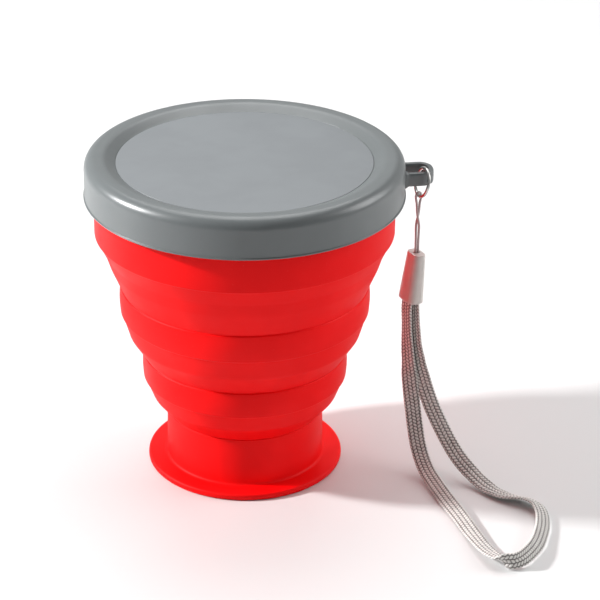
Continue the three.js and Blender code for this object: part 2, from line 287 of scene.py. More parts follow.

# %% [markdown]
# ## A route for the strap
#
# The strap is one length of webbing whose two ends meet in the sleeve. Down its front leg it
# hangs nearly plumb, then its own stiffness carries it out to the table, where it lies flat,
# turns back in a wide bight on its edge and climbs to the sleeve again. The route is a list of
# points, given as offsets from the foot of the jump ring, and the same list shapes the
# model's solid. A Catmull-Rom curve passes smoothly through them. A flat strap can't bend
# sideways, so it twists about its route instead: a second list says where one of its faces looks
# at shares of its length.

# %% route points
RING_LOW, RING_HIGH = (Vector(corner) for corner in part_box("jump_ring"))
RING_WIRE = 0.9 * MM
RING_MEAN = 4.0 * MM
RING_TILT = math.radians(14)
RING_TURN = math.radians(12)
RING_CENTRE = (RING_LOW + RING_HIGH) / 2
RING_DOWN = Vector((-math.sin(RING_TILT) * math.cos(RING_TURN),
                    -math.sin(RING_TILT) * math.sin(RING_TURN), -math.cos(RING_TILT)))
RING_FOOT = RING_CENTRE + RING_DOWN * RING_MEAN
SLEEVE_TURN = math.radians(-67)
SLEEVE_TILT = math.radians(5)
SLEEVE_DROP = 17.3 * MM
SLEEVE_LENGTH = 14.6 * MM
WEBBING_WIDTH = 4.8 * MM
WEBBING_THICKNESS = 1.1 * MM
CORD_DIAMETER = 0.65 * MM

STRAP_ROUTE = [
    (-1.6, -0.27, 52.0), (-1.95, -0.27, 49.5), (-2.4, -0.3, 46.5), (-2.3, -0.6, 40.8),
    (-2.1, -1.2, 35.7), (-1.9, -2.1, 30.9), (-1.5, -3.8, 24.4), (-1.0, -5.9, 18.3),
    (-0.5, -8.4, 12.2), (0, -10.9, 7.6), (0.7, -14.2, 4.3), (1.5, -18.3, 2.5),
    (2.6, -23.6, 1.75), (4.25, -32.0, 1.4), (6.1, -40.5, 1.3), (8.0, -51.0, 1.25),
    (9.4, -58.4, 1.6), (10.9, -63.6, 2.3), (12.7, -66.7, 2.65), (15.0, -67.8, 2.7),
    (18.0, -66.4, 2.6), (21.4, -62.7, 2.4), (24.1, -58.6, 2.2), (26.3, -53.7, 2.1),
    (28.0, -48.6, 2.05), (28.9, -43.2, 2.05), (28.5, -39.0, 2.05), (26.6, -36.0, 1.9),
    (23.9, -34.0, 1.55), (21.1, -32.0, 1.25), (18.5, -29.3, 1.3), (15.9, -25.7, 1.9),
    (13.1, -21.4, 3.7), (10.6, -17.5, 6.0), (8.5, -14.1, 9.1), (6.5, -11.0, 12.9),
    (4.8, -8.3, 16.6), (3.4, -6.2, 20.4), (2.1, -4.2, 25.2), (1.2, -2.9, 29.5),
    (0.5, -1.7, 34.8), (0.15, -0.8, 40.6), (-0.1, -0.1, 46.0), (-0.3, 0.27, 49.5),
    (-0.32, 0.27, 52.0),
]
STRAP_FACES = [
    (0, (-0.92, -0.39, 0)), (0.05, (-0.92, -0.39, 0)), (0.095, (-0.75, -0.65, 0)),
    (0.125, (-0.4, -0.88, 0.2)), (0.16, (-0.1, -0.88, 0.45)), (0.21, (-0.1, -0.88, 0.45)),
    (0.27, (-0.2, -0.4, 0.85)), (0.38, (-0.15, -0.15, 0.95)), (0.43, (0, 0.3, 0.95)),
    (0.46, (-0.05, 0.6, 0.8)), (0.484, (-0.1, 0.9, -0.2)), (0.51, (-0.4, 0.73, -0.5)),
    (0.56, (-0.5, 0.35, -0.75)), (0.6, (-0.5, 0.1, -0.85)), (0.625, (-0.45, -0.15, -0.87)),
    (0.66, (-0.3, -0.35, -0.87)), (0.69, (-0.1, 0, -1)), (0.72, (0.05, 0.5, -0.85)),
    (0.76, (0.1, 0.88, -0.45)), (0.85, (0.1, 0.88, -0.45)), (0.875, (0.35, 0.9, -0.2)),
    (0.9, (0.6, 0.75, 0)), (0.93, (0.85, 0.5, 0)), (0.96, (0.92, 0.39, 0)),
    (1, (0.92, 0.39, 0)),
]
CORD_ROUTE = [
    (-0.12, 0.2, -3.0), (-0.05, 0.4, -1.5), (0, 0.42, 0.2), (0, 0.42, 3.0),
    (0.1, 0.41, 6.0), (0.3, 0.3, 8.0), (0.42, 0, 9.6), (0.3, -0.3, 11.2),
    (0.1, -0.42, 13.0), (0, -0.5, 15.0), (0, -0.85, 16.7), (0, -0.68, 17.85),
    (0, 0, 18.3), (0, 0.68, 17.85), (0, 0.85, 16.7), (0, 0.5, 15.0),
    (-0.1, 0.42, 13.0), (-0.3, 0.3, 11.2), (-0.42, 0, 9.6), (-0.3, -0.3, 8.0),
    (-0.1, -0.41, 6.0), (0, -0.42, 3.0), (0, -0.42, 0.2), (-0.05, -0.5, -1.5),
    (-0.12, -0.75, -3.0),
]
print("ring foot at", [round(c / MM, 2) for c in RING_FOOT])


# %% smooth curve through points
CURVE_STEPS = 24  # between two points of a route


def through(points, step):
    """Points a step apart along a centripetal Catmull-Rom curve, and its tangents."""
    ends = [2 * points[0] - points[1], *points, 2 * points[-1] - points[-2]]
    fine = []
    for before, start, stop, after in zip(ends, ends[1:], ends[2:], ends[3:]):
        knots = [0.0]
        for one, two in ((before, start), (start, stop), (stop, after)):
            knots.append(knots[-1] + max((two - one).length, 1e-9) ** 0.5)
        for i in range(CURVE_STEPS):
            t = knots[1] + (knots[2] - knots[1]) * i / CURVE_STEPS
            level = [before, start, stop, after]
            for span in (1, 2, 3):
                level = [
                    level[k].lerp(level[k + 1], (t - low) / (high - low))
                    for k, (low, high) in enumerate(blossom(knots, span))
                ]
            fine.append(level[0])
    fine.append(points[-1])
    return evenly(fine, step)


def blossom(knots, span):
    """The knot intervals of one level of the Catmull-Rom pyramid."""
    if span == 1:
        return [(knots[0], knots[1]), (knots[1], knots[2]), (knots[2], knots[3])]
    if span == 2:
        return [(knots[0], knots[2]), (knots[1], knots[3])]
    return [(knots[1], knots[2])]


def evenly(fine, step):
    """Samples a dense polyline at equal steps."""
    lengths = [0.0]
    for one, two in zip(fine, fine[1:]):
        lengths.append(lengths[-1] + (two - one).length)
    count = max(2, round(lengths[-1] / step))
    places, k = [], 0
    for i in range(count + 1):
        want = lengths[-1] * i / count
        while k < len(fine) - 2 and lengths[k + 1] < want:
            k += 1
        share = (want - lengths[k]) / max(lengths[k + 1] - lengths[k], 1e-12)
        places.append(fine[k].lerp(fine[k + 1], share))
    slopes = [
        (places[min(i + 1, count)] - places[max(i - 1, 0)]).normalized()
        for i in range(count + 1)
    ]
    return places, slopes, lengths[-1]


strap_points = [
    Vector((x, y, z)) * MM + Vector((RING_FOOT.x, RING_FOOT.y, 0)) for x, y, z in STRAP_ROUTE
]
strap_places, strap_slopes, strap_length = through(strap_points, 0.2 * MM)
print(f"webbing {strap_length / MM:.0f} mm long, {len(strap_places)} sections")

# %% [markdown]
# ## Meshes from sections
#
# Most pieces here are one section carried along a path or turned about an axis. `skin` joins a
# list of point rings into a closed tube with capped ends, and keeps a UV map, so that a finish
# can follow the piece. It also smooths the shading except at edges sharper than a set angle.


# %% mesh helpers
def smoothstep(low, high, value):
    share = min(1.0, max(0.0, (value - low) / (high - low)))
    return share * share * (3 - 2 * share)


def softened(value, power):
    """A circle's sine or cosine pushed outward, which turns the circle into a soft rectangle."""
    return math.copysign(abs(value) ** power, value)


SHARP_EDGE = math.radians(35)


def to_object(name, mesh, material, sharp=SHARP_EDGE):
    """A mesh as an object in the scene, with smooth shading and one finish."""
    mesh.materials.append(material)
    mesh.shade_smooth()
    mesh.set_sharp_from_angle(angle=sharp)
    made = bpy.data.objects.new(name, mesh)
    bpy.context.scene.collection.objects.link(made)
    return made


def skin(name, rings, material, uv=None, closed=False, sharp=SHARP_EDGE, marks=None):
    """A tube over rings of points. uv(i, k) gives the UV of corner k on ring i."""
    mesh = bpy.data.meshes.new(name)
    around, count = len(rings[0]), len(rings)
    vertices = [point for ring in rings for point in ring]
    faces, corners = [], []
    for i in range(count if closed else count - 1):
        for k in range(around):
            m, j = (k + 1) % around, (i + 1) % count
            faces.append((i * around + k, i * around + m, j * around + m, j * around + k))
            corners.append(((i, k), (i, k + 1), (i + 1, k + 1), (i + 1, k)))
    if not closed:
        for i, order in ((0, reversed(range(around))), (count - 1, range(around))):
            order = list(order)
            faces.append(tuple(i * around + k for k in order))
            corners.append(tuple((i, k) for k in order))
    mesh.from_pydata(vertices, [], faces)
    if uv:
        layer = mesh.uv_layers.new(name="UVMap").data
        spots = [uv(i, k) for face in corners for i, k in face]
        for loop, spot in zip(layer, spots):
            loop.uv = spot
    if marks:
        height = mesh.attributes.new("yarn_height", "FLOAT", "POINT")
        height.data.foreach_set("value", marks)
    mesh.update()
    return to_object(name, mesh, material, sharp)


print("mesh helpers ready")

# %% [markdown]
# ## The wrist strap
#
# Flat braid shows rows of small slanted stitches along its length, like ears of grain, with
# smooth rounded edges. It could be faked with a bump, but the strap is near the camera and its
# outline is bumpy too, so the stitches are raised in the mesh: for each point of the section,
# a wave along the strap, shifted from rib to rib, gives the height of its yarn.

# %% weave the strap
STRAP_RIBS = 5
STITCH_PITCH = 1.0 * MM
STITCH_HEIGHT = 0.22 * MM
STITCH_SLANT = 0.55  # share of a pitch that a stitch leans over its rib
STITCH_GROUND = 0.15  # height of a rib between its stitches
EDGE_WAVE = 0.08 * MM
STRAP_SWAY = 0.12 * MM
FACE_STEPS = 24
STRAP_AROUND = 2 * FACE_STEPS


def strap_frame(i):
    """Across and outward directions of the strap at one section."""
    share = i / (len(strap_places) - 1)
    after = next(k for k, (place, _) in enumerate(STRAP_FACES) if k and place >= share)
    (low, start), (high, stop) = STRAP_FACES[after - 1], STRAP_FACES[after]
    looks = Vector(start).lerp(Vector(stop), smoothstep(low, high, share))
    slope = strap_slopes[i]
    outward = (looks - slope * looks.dot(slope)).normalized()
    return slope.cross(outward), outward


def strap_outline(k):
    """Point k of the plain section, as shares of half the width and half the thickness."""
    wide = 1 - 2 * (k % FACE_STEPS) / FACE_STEPS
    side = 1 if k < FACE_STEPS else -1
    return wide * side, side * (1 - abs(wide) ** 6) ** 0.5


def stitch(across, face, along):
    """Height of the yarn, 0 to 1, at a share across the strap and a distance along it."""
    rib = (across * 0.5 + 0.5) * (STRAP_RIBS - 1) + 0.5
    inside = rib - math.floor(rib)
    odd = math.floor(rib) % 2
    slant = STITCH_SLANT * (1 - 2 * odd) * (inside - 0.5)
    turn = along / STITCH_PITCH + slant + 0.5 * odd + (0.5 if face < 0 else 0.0)
    wave = 0.5 + 0.5 * math.cos(2 * math.pi * turn)
    crown = max(0.0, math.sin(math.pi * inside)) ** 0.6
    return crown * (STITCH_GROUND + (1 - STITCH_GROUND) * wave ** 0.8)


rings, heights = [], []
for i, place in enumerate(strap_places):
    across_way, outward_way = strap_frame(i)
    along = strap_length * i / (len(strap_places) - 1)
    sway = STRAP_SWAY * noise.noise(place * 90)
    edge = WEBBING_WIDTH / 2 - EDGE_WAVE * (1 - math.cos(2 * math.pi * along / STITCH_PITCH))
    ring = []
    for k in range(STRAP_AROUND):
        wide, thick = strap_outline(k)
        height = stitch(wide, thick, along)
        raised = WEBBING_THICKNESS / 2 - STITCH_HEIGHT * (1 - height)
        ring.append(place + across_way * (wide * edge) + outward_way * (thick * raised + sway))
        # The yarn height also drives the painted shade that the finish puts in the gaps between
        # stitches.
        heights.append(height)
    rings.append(ring)


def strap_uv(i, k):
    wide = strap_outline(k % STRAP_AROUND)[0]
    return (wide * WEBBING_WIDTH / 2, strap_length * i / (len(strap_places) - 1))


wrist_strap = skin("woven_wrist_strap", rings, WEBBING, strap_uv, marks=heights,
                   sharp=math.radians(80))
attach(wrist_strap, "strap")
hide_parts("wrist_strap")
print(f"strap: {len(wrist_strap.data.polygons)} faces")

# %% [markdown]
# ## The thin cord
#
# A thin braided cord joins the webbing to the ring. Its two runs turn once about each other on
# the way up and pass over the wire at the ring's foot. Three strands laid round each other give
# the cord its rope-like outline, so its section has three soft lobes that turn along its length.

# %% lay the cord
CORD_LAY = 1.6 * MM
CORD_STRANDS = 3
CORD_AROUND = 16
hang_turn = Matrix.Rotation(SLEEVE_TURN, 3, "Z")
sleeve_top = RING_FOOT - Vector((0, 0, SLEEVE_DROP))
cord_points = [sleeve_top + hang_turn @ (Vector(point) * MM) for point in CORD_ROUTE]
cord_places, cord_slopes, cord_length = through(cord_points, 0.1 * MM)

rings, heights = [], []
side_way = cord_slopes[0].orthogonal().normalized()
for i, (place, slope) in enumerate(zip(cord_places, cord_slopes)):
    side_way = (side_way - slope * side_way.dot(slope)).normalized()
    other_way = slope.cross(side_way)
    lay = 2 * math.pi * (cord_length * i / (len(cord_places) - 1)) / CORD_LAY
    ring = []
    for k in range(CORD_AROUND):
        angle = 2 * math.pi * k / CORD_AROUND
        bulge = abs(math.cos(CORD_STRANDS / 2 * (angle - lay)))
        radius = CORD_DIAMETER / 2 * (0.92 + 0.16 * bulge)
        ring.append(place + (side_way * math.cos(angle) + other_way * math.sin(angle)) * radius)
        # The strand bulge also drives the painted shade that the finish puts in the grooves
        # between strands.
        heights.append(bulge)
    rings.append(ring)


def cord_uv(i, k):
    return (k / CORD_AROUND * math.pi * CORD_DIAMETER, cord_length * i / (len(cord_places) - 1))


thin_cord = skin("thin_cord_loop", rings, THIN_CORD, cord_uv, marks=heights,
                 sharp=math.radians(80))
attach(thin_cord, "strap")
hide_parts("cord_loop")
print(f"thin cord {cord_length / MM:.0f} mm long")

# %% [markdown]
# ## Silicone and hard plastic
#
# Silicone is matte but never dull: light goes a little way into it, so its shadows glow and its
# thin parts look warm. That is a constant share of subsurface light in the shader. On top come
# the marks of the mould and of use: a fine blasted grain, broad faint patches where fingers
# polished it, and specks of lint, which silicone always holds.


# %% moulded finishes
def moulded(name, color, roughness, patch=0.1, lint=0.5, grain=1.0, **constants):
    finish = Finish(name, color, roughness, **constants)
    fine = finish.noise(5200, 2.0, 0.6)
    broad = finish.noise(38, 3.0, 0.55)
    specks = finish.noise(2100, 0.0, 0.5).between(0.79, 0.82) * lint
    worn = broad.between(0.42, 0.68)
    pale = tuple(0.75 * c + 0.25 for c in color)
    deep = tuple(0.86 * c for c in color)
    tinted = finish.mix((1 - worn) * 0.5, color, deep)
    finish.put("Base Color", finish.mix(specks * 0.35, tinted, pale))
    finish.put("Roughness", roughness + patch * (0.5 - worn) + specks * 0.15)
    finish.bump(fine * 0.7 + broad * 0.3, 0.05 * MM, 0.25 * grain)
    return finish.material


RED_SILICONE = moulded("red_silicone", srgb(255, 5, 9), 0.5, 0.12, 0.12,
                       Subsurface_Weight=0.12, Subsurface_Radius=(0.002, 0.0004, 0.0003),
                       Subsurface_Scale=1.0, Specular_IOR_Level=0.14)
GREY_LID = moulded("grey_lid", srgb(102, 107, 108), 0.34, 0.08, 0.12,
                   Subsurface_Weight=0.08, Subsurface_Radius=(0.001, 0.001, 0.001),
                   Subsurface_Scale=1.0, Specular_IOR_Level=0.75)
GREY_PANEL = moulded("grey_panel", srgb(123, 127, 130), 0.4, 0.06, 0.1, 0.5)
COLLAR_PLASTIC = moulded("collar_plastic", srgb(112, 117, 122), 0.4, 0.08, 0.0)
print("moulded finishes made")

# %% [markdown]
# ## Turned pieces
#
# The cup and the lid are bodies of revolution, as most moulded cups are. Each is drawn as half
# a section: a list of corners, each with the radius that the mould gives it. `rounded` replaces
# every corner by a short arc, and `turn` carries the section round the axis. A crisp look comes
# from small true radii, not from sharp edges, because a real edge always catches some light.

# %% sections and turning
TURN_STEPS = 192
LONGEST_FILLET = 0.45  # share of a side that one corner's fillet may take


def rounded(corners, steps=5):
    """A closed outline of (radius, height) points from (radius, height, fillet) corners."""
    outline = []
    for i, (r, z, fillet) in enumerate(corners):
        here = Vector((r, z))
        before = Vector(corners[i - 1][:2]) - here
        after = Vector(corners[(i + 1) % len(corners)][:2]) - here
        reach = min(fillet, LONGEST_FILLET * before.length, LONGEST_FILLET * after.length)
        if fillet == 0 or reach < 1e-6:
            outline.append(here)
            continue
        start = here + before.normalized() * reach
        stop = here + after.normalized() * reach
        for k in range(steps + 1):
            t = k / steps
            outline.append(start * (1 - t) ** 2 + here * 2 * t * (1 - t) + stop * t ** 2)
    return outline


def turn(name, corners, material, sharp=SHARP_EDGE):
    """A section carried round the Z axis, with the vertices on the axis merged."""
    outline = rounded(corners)
    rings = []
    for i in range(TURN_STEPS):
        angle = 2 * math.pi * i / TURN_STEPS
        rings.append([(p.x * math.cos(angle), p.x * math.sin(angle), p.y) for p in outline])
    made = skin(name, rings, material, closed=True, sharp=sharp)
    work = bmesh.new()
    work.from_mesh(made.data)
    bmesh.ops.remove_doubles(work, verts=work.verts, dist=1e-7)
    bmesh.ops.recalc_face_normals(work, faces=work.faces)
    work.to_mesh(made.data)
    work.free()
    made.data.set_sharp_from_angle(angle=sharp)
    return made


def dress(piece, body, slot, *nodes):
    """Ties a piece to its body and hides the solids that it stands for. The slot is not used."""
    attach(piece, body)
    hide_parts(*nodes)
    print(f"{piece.name}: {len(piece.data.polygons)} faces, on {body}")


print("sections can be rounded and turned")

# %% [markdown]
# ## The four straight bands
#
# The wall of the cup is four straight bands of falling radius. Where a band meets the web below
# it, the silicone has a small step, which draws the crisp dark ring seen all round the cup. The
# top band is the widest. It carries the mouth, and an outside groove holds a hard collar that
# keeps the mouth round.

# %% bands
EDGE = 0.35 * MM
STEP = 0.35 * MM
GROOVE_DEPTH = 1.3 * MM
GROOVE_ROOM = 0.3 * MM
LIP_ROUND = BAND_WALL * 0.45

rim_inner = RIM_RADIUS - BAND_WALL
rim_band = turn("red_rim_band", [
    (rim_inner, RIM_BOTTOM, EDGE),
    (RIM_RADIUS - STEP, RIM_BOTTOM, EDGE / 2),
    (RIM_RADIUS, RIM_BOTTOM + STEP, EDGE),
    (RIM_RADIUS, COLLAR_BOTTOM - GROOVE_ROOM, EDGE / 2),
    (RIM_RADIUS - GROOVE_DEPTH, COLLAR_BOTTOM - GROOVE_ROOM, EDGE / 2),
    (RIM_RADIUS - GROOVE_DEPTH, COLLAR_TOP + GROOVE_ROOM, EDGE / 2),
    (RIM_RADIUS, COLLAR_TOP + GROOVE_ROOM, EDGE / 2),
    (RIM_RADIUS, MOUTH, LIP_ROUND),
    (rim_inner, MOUTH, LIP_ROUND),
], RED_SILICONE)
dress(rim_band, "rim", "red_silicone", "rim_band")


def band_corners(radius, bottom, top):
    """A straight band with a small step at each end and a slight swell between."""
    inner = radius - BAND_WALL
    return [
        (inner, bottom, EDGE),
        (radius - STEP, bottom, EDGE / 2),
        (radius, bottom + STEP, EDGE),
        (radius + BAND_SWELL, (bottom + top) / 2, 3 * MM),
        (radius, top - STEP, EDGE),
        (radius - STEP, top, EDGE / 2),
        (inner, top, EDGE),
    ]


upper_band = turn("red_upper_band", band_corners(UPPER_RADIUS, UPPER_BOTTOM, UPPER_TOP),
                  RED_SILICONE)
dress(upper_band, "upper", "red_silicone", "upper_band")
lower_band = turn("red_lower_band", band_corners(LOWER_RADIUS, LOWER_BOTTOM, LOWER_TOP),
                  RED_SILICONE)
dress(lower_band, "lower", "red_silicone", "lower_band")

# %% [markdown]
# ## The folding webs
#
# Between two bands the wall tapers in three cones: steep, nearly straight, then steep again, with
# a soft crease between them. This is the part that turns inside out when the cup collapses. It
# belongs to both of its neighbours, so it rides on neither of them and stays where it is made.
# Rings of points close together let it bend without showing flats.

# %% webs
WEB_RING_STEP = 0.5 * MM
CREASE = 1.1 * MM
CREASE_ANGLE = math.radians(60)
TUCK = 0.25 * MM  # how far a web reaches into the bands beside it


def divided(corners, step):
    """Adds points along the long straight runs of an outline, so that it can bend."""
    points = []
    for i, (r, z, fillet) in enumerate(corners):
        points.append((r, z, fillet))
        next_r, next_z, _ = corners[(i + 1) % len(corners)]
        count = int(math.hypot(next_r - r, next_z - z) / step)
        for k in range(2, count - 1):
            share = k / count
            points.append((r + (next_r - r) * share, z + (next_z - z) * share, 0))
    return points


def web(name, low_radius, bottom, high_radius, top, creases):
    """A web's outer side in three cones and its inner side parallel to it."""
    taper, drop = high_radius - low_radius, top - bottom
    outer = [(low_radius - STEP, bottom - TUCK, 0)]
    outer += [(low_radius + taper * r, bottom + drop * z, CREASE) for r, z in creases]
    outer += [(high_radius - STEP, top + TUCK, 0)]
    inner = [(r - WEB_WALL, z, fillet) for r, z, fillet in reversed(outer)]
    return turn(name, divided(outer + inner, WEB_RING_STEP), RED_SILICONE, CREASE_ANGLE)


# Each web: name, radius and height of its foot, of its head, where its two creases lie as
# shares of the way up, the bodies above and below, and the solid that it stands for.
WEBS = (
    ("red_upper_web", UPPER_RADIUS, UPPER_TOP, RIM_RADIUS, RIM_BOTTOM,
     ((0.41, 0.45), (0.6, 0.7)), "rim", "upper", "upper_fold_web"),
    ("red_middle_web", LOWER_RADIUS, LOWER_TOP, UPPER_RADIUS, UPPER_BOTTOM,
     ((0.63, 0.5), (0.75, 0.7)), "upper", "lower", "middle_fold_web"),
    ("red_lower_web", NECK_RADIUS, NECK_TOP, LOWER_RADIUS, LOWER_BOTTOM,
     ((0.63, 0.5), (0.75, 0.7)), "lower", "base", "lower_fold_web"),
)
for name, low_radius, bottom, high_radius, top, creases, above, below, node in WEBS:
    made = web(name, low_radius, bottom, high_radius, top, creases)
    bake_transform(made)
    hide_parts(node)
    print(f"{name}: bends from {above} to {below}")

# %% [markdown]
# ## Neck and foot
#
# The neck is a short straight tube with a closed floor, and it stands on a thin round flange.
# The flange's edge is fully rounded, and a small fillet joins it to the neck. The underside has
# a shallow ring-shaped hollow, as such feet do, so that the cup doesn't rock.

# %% base
FOOT_THICKNESS = 2.0 * MM
FOOT_ROUND = FOOT_THICKNESS * 0.45
FLOOR_THICKNESS = 2.4 * MM
HOLLOW = 0.3 * MM
neck_inner = NECK_RADIUS - BAND_WALL
base = turn("red_base", [
    (0, TABLE, 0),
    (NECK_RADIUS * 0.45, TABLE, 0.2 * MM),
    (NECK_RADIUS * 0.47, TABLE + HOLLOW, HOLLOW),
    (NECK_RADIUS * 0.93, TABLE + HOLLOW, HOLLOW),
    (NECK_RADIUS * 0.95, TABLE, 0.2 * MM),
    (FOOT_RADIUS, TABLE, FOOT_ROUND),
    (FOOT_RADIUS, TABLE + FOOT_THICKNESS, FOOT_ROUND),
    (NECK_RADIUS + 0.2 * MM, TABLE + FOOT_THICKNESS, 1.0 * MM),
    (NECK_RADIUS, NECK_TOP, EDGE),
    (neck_inner, NECK_TOP, EDGE),
    (neck_inner, TABLE + FLOOR_THICKNESS, 2.0 * MM),
    (0, TABLE + FLOOR_THICKNESS, 0),
], RED_SILICONE)
dress(base, "base", "red_silicone", "base_foot")

# %% [markdown]
# ## Collar
#
# The collar is a plain hard ring in the rim's groove. The closed lid hides it, and it shows when
# the lid is lifted, so it gets its own colour and eased edges.

# %% collar
COLLAR_DEPTH = 1.0 * MM
collar = turn("hard_collar", [
    (COLLAR_RADIUS - COLLAR_DEPTH, COLLAR_BOTTOM, EDGE / 2),
    (COLLAR_RADIUS, COLLAR_BOTTOM, EDGE),
    (COLLAR_RADIUS, COLLAR_TOP, EDGE),
    (COLLAR_RADIUS - COLLAR_DEPTH, COLLAR_TOP, EDGE / 2),
], COLLAR_PLASTIC)
dress(collar, "rim", "collar_plastic", "rim_collar")

# %% [markdown]
# ## The lid
#
# The lid is a thick soft cap. Its skirt drops over the mouth, a round shoulder rises to a broad
# crest, and inside the crest a soft slope falls to the panel. Under it a thin plug lip goes
# into the mouth and makes the seal. A thin bead runs round the skirt's lower edge and catches
# the light that comes up from the table.

# %% lid cover
SKIRT_WALL = 2.1 * MM
SHOULDER = 3.2 * MM
CREST_WIDTH = 2.2 * MM
PANEL_GAP = 0.3 * MM
LID_FLOOR = 1.4 * MM
PLUG_DEPTH = 3.2 * MM
PLUG_WALL = 1.4 * MM
BEAD = 0.4 * MM
BEAD_REACH = 0.3 * MM
skirt_inner = LID_RADIUS - SKIRT_WALL
plug_radius = rim_inner - PANEL_GAP
lid_floor_top = PANEL_BOTTOM - PANEL_GAP
lid_floor_bottom = lid_floor_top - LID_FLOOR
recess_radius = PANEL_RADIUS + 0.08 * MM
shoulder_arc = [
    (LID_RADIUS - SHOULDER + SHOULDER * math.cos(math.radians(angle)),
     CREST - SHOULDER + SHOULDER * math.sin(math.radians(angle)), 0)
    for angle in range(0, 91, 6)
]
lid_cover = turn("grey_lid_cover", [
    (0, lid_floor_bottom, 0),
    (plug_radius - PLUG_WALL, lid_floor_bottom, 0.6 * MM),
    (plug_radius - PLUG_WALL, lid_floor_bottom - PLUG_DEPTH, 0.5 * MM),
    (plug_radius - 0.2 * MM, lid_floor_bottom - PLUG_DEPTH, 0.5 * MM),
    (plug_radius, MOUTH, 0.4 * MM),
    (plug_radius, MOUTH + PANEL_GAP, 0.1 * MM),
    (skirt_inner, MOUTH + PANEL_GAP, 0.1 * MM),
    (skirt_inner, SKIRT_BOTTOM, 0.3 * MM),
    (LID_RADIUS + BEAD_REACH, SKIRT_BOTTOM, 0.2 * MM),
    (LID_RADIUS + BEAD_REACH, SKIRT_BOTTOM + BEAD, 0.15 * MM),
    (LID_RADIUS, SKIRT_BOTTOM + BEAD + 0.1 * MM, 0.15 * MM),
    *shoulder_arc,
    (LID_RADIUS - SHOULDER - CREST_WIDTH, CREST, 1.6 * MM),
    (recess_radius + 0.35 * MM, PANEL_TOP + 0.1 * MM, 0.9 * MM),
    (recess_radius, PANEL_TOP - 0.05 * MM, 0.05 * MM),
    (recess_radius, lid_floor_top, 0),
    (0, lid_floor_top, 0),
], GREY_LID)
dress(lid_cover, "lid", "grey_lid", "lid_cover")

# %% [markdown]
# ## The panel
#
# A harder disc sits in the lid's recess. It is smoother than the lid, so it shows soft
# reflections, and its edge has a fine chamfer that separates it from the cover.

# %% lid panel
lid_panel = turn("grey_lid_panel", [
    (0, PANEL_BOTTOM, 0),
    (PANEL_RADIUS, PANEL_BOTTOM, 0.2 * MM),
    (PANEL_RADIUS, PANEL_TOP, 0.12 * MM),
    (0, PANEL_TOP, 0),
], GREY_PANEL)
dress(lid_panel, "lid", "grey_panel", "lid_panel")

# %% [markdown]
# ## The eyelet
#
# The eyelet is a flat loop moulded on the skirt. It could be cut from a block, but sweeping a
# rounded section round the loop gives an even wall and soft edges in one step. The section grows
# a little at its two roots, where the mould has a fillet, and both roots run into the skirt.

# %% eyelet
EYELET_LOW, EYELET_HIGH = (Vector(corner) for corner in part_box("lid_eyelet"))
EYELET_ARM = 1.6 * MM
EYELET_CORNER = 3.8 * MM
EYELET_SINK = 1.0 * MM
ROOT_FLARE = 0.5 * MM
ROOT_REACH = 1.2 * MM
BEND_STEPS = 8
EYELET_AROUND = 32
arm_y = (EYELET_HIGH.y - EYELET_LOW.y - EYELET_ARM) / 2
end_x = EYELET_HIGH.x - EYELET_ARM / 2
bend = EYELET_CORNER - EYELET_ARM / 2
eyelet_z = (EYELET_LOW.z + EYELET_HIGH.z) / 2
eyelet_half = (EYELET_HIGH.z - EYELET_LOW.z) / 2
loop = [Vector((LID_RADIUS - EYELET_SINK, -arm_y, eyelet_z))]
for centre_y, start in ((-arm_y + bend, -90), (arm_y - bend, 0)):
    for k in range(BEND_STEPS + 1):
        angle = math.radians(start + 90 * k / BEND_STEPS)
        loop.append(Vector((end_x - bend + bend * math.cos(angle),
                            centre_y + bend * math.sin(angle), eyelet_z)))
loop.append(Vector((LID_RADIUS - EYELET_SINK, arm_y, eyelet_z)))
eyelet_places, eyelet_slopes, _ = evenly(loop, 0.25 * MM)
rings = []
for place, slope in zip(eyelet_places, eyelet_slopes):
    sideways = slope.cross(Vector((0, 0, 1)))
    flare = ROOT_FLARE * smoothstep(LID_RADIUS + ROOT_REACH, LID_RADIUS, place.x)
    ring = []
    for k in range(EYELET_AROUND):
        angle = 2 * math.pi * k / EYELET_AROUND
        wide = softened(math.cos(angle), 0.45) * (EYELET_ARM / 2 + flare)
        tall = softened(math.sin(angle), 0.35) * (eyelet_half + flare)
        ring.append(place + sideways * wide + Vector((0, 0, tall)))
    rings.append(ring)
eyelet = skin("grey_eyelet", rings, GREY_LID, sharp=math.radians(60))
dress(eyelet, "lid", "grey_lid", "lid_eyelet")

# %% [markdown]
# ## The jump ring
#
# A jump ring is one turn of steel wire whose ends only butt together, so it has a fine gap that
# a perfect torus wouldn't show. The gap sits inside the eyelet's slot. Brushed marks run round
# the wire, because it was drawn through a die.


# %% steel finish
def steel(name):
    finish = Finish(name, srgb(196, 195, 192), 0.24, Metallic=1.0)
    scratches = finish.noise(2600, 3.0, 0.6)
    tarnish = finish.noise(420, 3.0, 0.55).between(0.45, 0.75)
    finish.put("Base Color", finish.mix(tarnish * 0.55, srgb(206, 205, 203), srgb(128, 124, 120)))
    finish.put("Roughness", 0.2 + scratches * 0.14 + tarnish * 0.12)
    finish.bump(scratches, 0.01 * MM, 0.4)
    return finish.material


RING_STEEL = steel("ring_steel")
print("steel finish made")

